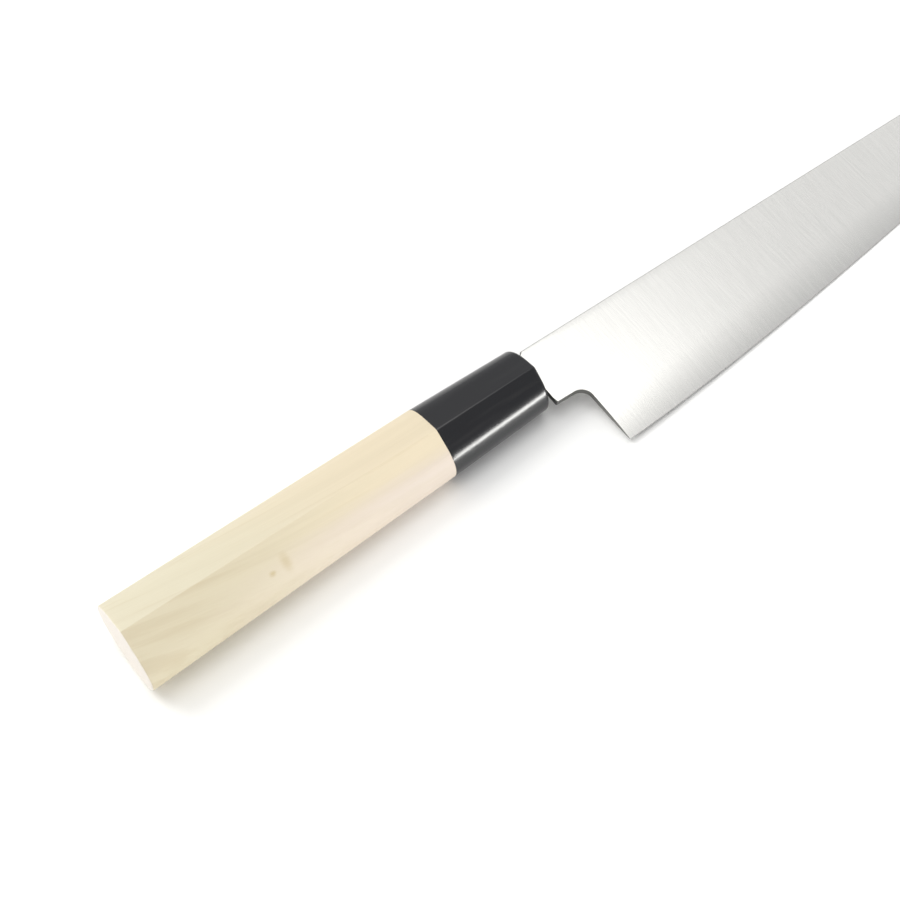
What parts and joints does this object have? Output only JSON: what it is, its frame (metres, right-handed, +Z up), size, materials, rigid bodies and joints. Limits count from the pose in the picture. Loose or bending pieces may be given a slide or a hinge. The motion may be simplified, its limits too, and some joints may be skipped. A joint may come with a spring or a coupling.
{
  "type": "sujihiki knife",
  "caption": "Long slender slicing knife: satin steel blade with a straight spine on a hidden tang, black horn ferrule and pale magnolia handle with a ridged oval section.",
  "frame": {"origin": "middle of the bounding box at its bottom, on the table that the knife lies on", "axes": "+X along the knife towards the tip, +Y across it towards the spine, +Z up from the table, out of the blade's right face"},
  "size_m": [0.4226, 0.0434, 0.0235],
  "materials": {
    "steel": "satin, with fine polish lines across the blade",
    "horn": "polished black horn",
    "magnolia": "bare sanded wood with fine lengthwise grain",
    "resin": "cast resin",
    "sealant": "dull dark filler"
  },
  "bodies": {
    "root": {"blade": "steel", "ferrule": "horn", "grip": "magnolia", "tang_bedding": "resin", "mouth_seal": "sealant"}
  },
  "joints": []
}
